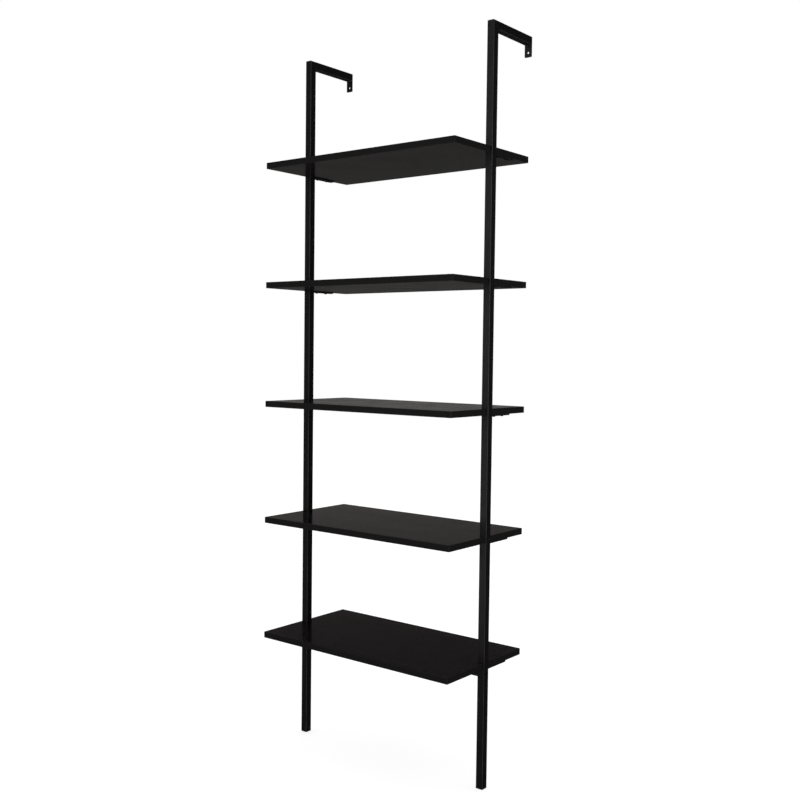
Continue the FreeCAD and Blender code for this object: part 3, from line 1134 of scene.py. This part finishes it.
# %% [markdown]
# ## The floor
# The shelf stands on a light table: a sheet of white acrylic, lit from below, so that what
# stands on it throws only a faint shadow. It is a plain disc, slightly below the feet. It
# isn't seen in reflections: the boards mirror the studio and not this floor.

# %% Floor
FLOOR_RADIUS = 14.0
FLOOR_DROP = 0.2 * MM


def lit_acrylic():
    finish, tree = new_finish("lit_white_acrylic")
    place = add(tree, "ShaderNodeTexCoord").outputs["Object"]
    # the lamps below make it a shade brighter every 300 mm or so
    lamps = add(tree, "ShaderNodeTexNoise", {"Vector": place, "Scale": per_metre(300)})
    colour = add(tree, "ShaderNodeMix",
                 {"Factor": lamps.outputs["Fac"],
                  COLOUR_A: linear("#979797"), COLOUR_B: linear("#9b9b9b")}, data_type="RGBA")
    surface = add(tree, "ShaderNodeBsdfPrincipled",
                  {"Base Color": colour.outputs[MIXED_COLOUR], "Roughness": 0.8, "IOR": 1.49,
                   "Emission Color": (1, 1, 1, 1), "Emission Strength": 0.78})
    add(tree, "ShaderNodeOutputMaterial", {"Surface": surface.outputs["BSDF"]})
    return finish


mesh = bmesh.new()
bmesh.ops.create_circle(mesh, cap_ends=True, radius=FLOOR_RADIUS, segments=96)
floor = to_object("light_table", mesh)
floor.location.z = -FLOOR_DROP
floor.data.materials.append(lit_acrylic())
floor.visible_glossy = False
print("the floor is", 2 * FLOOR_RADIUS, "m across")

# %% [markdown]
# ## The soft boxes
# A black tube needs light placed where it mirrors it. A tall soft box at the front is
# mirrored by the front face of the right tube, and hardly by the left one, so the two don't
# look alike. A small one, standing low, does the same for that tube's lower length. A tall
# one at the front right is mirrored only by the rounded corners, where it draws the thin
# line that shows that a tube is square, and by the domed bolt heads. These three are too
# bright for the glossy boards, which would mirror them as white patches. A studio puts a
# black card between such a lamp and what it shouldn't reach. Light linking does the same:
# they light the steel only. Two dim ones, at the left and the right, give the boards their
# sheen when seen from behind. No two stand in one place: they would hide each other.

# %% Soft boxes
def soft_box(name, place, target, width, height, radiance, lights_only=None):
    light = bpy.data.lights.new(name, "AREA")
    light.shape = "RECTANGLE"
    light.size, light.size_y = width, height
    light.energy = radiance * math.pi * width * height
    thing = bpy.data.objects.new(name, light)
    thing.location = place
    towards = Vector(target) - Vector(place)
    thing.rotation_euler = towards.to_track_quat("-Z", "Y").to_euler()
    thing.visible_camera = False
    thing.light_linking.receiver_collection = lights_only
    bpy.context.scene.collection.objects.link(thing)
    print(name, "gives", round(light.energy, 1), "W")


steel_parts = bpy.data.collections.new("steel_parts")
glossy_boards = bpy.data.collections.new("glossy_boards")
for thing in bpy.data.objects:
    if any(held.material in (powder_coat, black_oxide) for held in thing.material_slots):
        steel_parts.objects.link(thing)
    if thing.name.endswith("_board"):
        glossy_boards.objects.link(thing)

# name, place, what it is aimed at, width, height, brightness, what it lights
soft_box("sheen_left", (-1.5, -2.9, 1.6), (0.3, 0, 1.2), 0.7, 2.4, 0.4)
soft_box("sheen_right", (2.2, -2.5, 1.5), (0, 0, 0.9), 1.3, 2.4, 0.5, glossy_boards)
soft_box("front_face_light", (-0.7, -2.9, 1.6), (0.3, 0, 1.2), 0.7, 2.4, 1.4, steel_parts)
soft_box("low_front_light", (-0.75, -1.6, 0.22), (0.3, 0, 0.45), 0.5, 0.4, 1.4, steel_parts)
soft_box("corner_light", (2.7, -1.9, 1.3), (0, 0, 1.0), 0.6, 2.4, 3.8, steel_parts)

# %% [markdown]
# ## The camera
# The camera stands to the right of the shelf, a little above the middle of its height, and
# looks slightly down. It is given as a place and three angles: yaw to the left, pitch down,
# and a roll of less than a degree. The three axes are worked out from those one after the
# other, which is easier to check than a single rotation.

# %% Camera
CAMERA_PLACE = Vector((1.68380, -2.09006, 1.07910))
YAW, PITCH, ROLL = (math.radians(angle) for angle in (38.4128, -2.7620, 0.6679))
LENS_MM, SENSOR_MM = 46.30, 36

forward = Vector((-math.sin(YAW) * math.cos(PITCH), math.cos(YAW) * math.cos(PITCH),
                  math.sin(PITCH)))
level = Vector((math.cos(YAW), math.sin(YAW), 0))
above = level.cross(forward)
right = math.cos(ROLL) * level + math.sin(ROLL) * above
up = -math.sin(ROLL) * level + math.cos(ROLL) * above

camera_data = bpy.data.cameras.new("camera")
camera_data.lens = LENS_MM
camera_data.sensor_width = SENSOR_MM
camera = bpy.data.objects.new("camera", camera_data)
turned = Matrix((right, up, -forward)).transposed().to_4x4()
camera.matrix_world = Matrix.Translation(CAMERA_PLACE) @ turned
bpy.context.scene.collection.objects.link(camera)
bpy.context.scene.camera = camera
bpy.context.scene.view_settings.view_transform = "Standard"
print("the camera is", round(CAMERA_PLACE.length, 2), "m from the foot of the shelf")
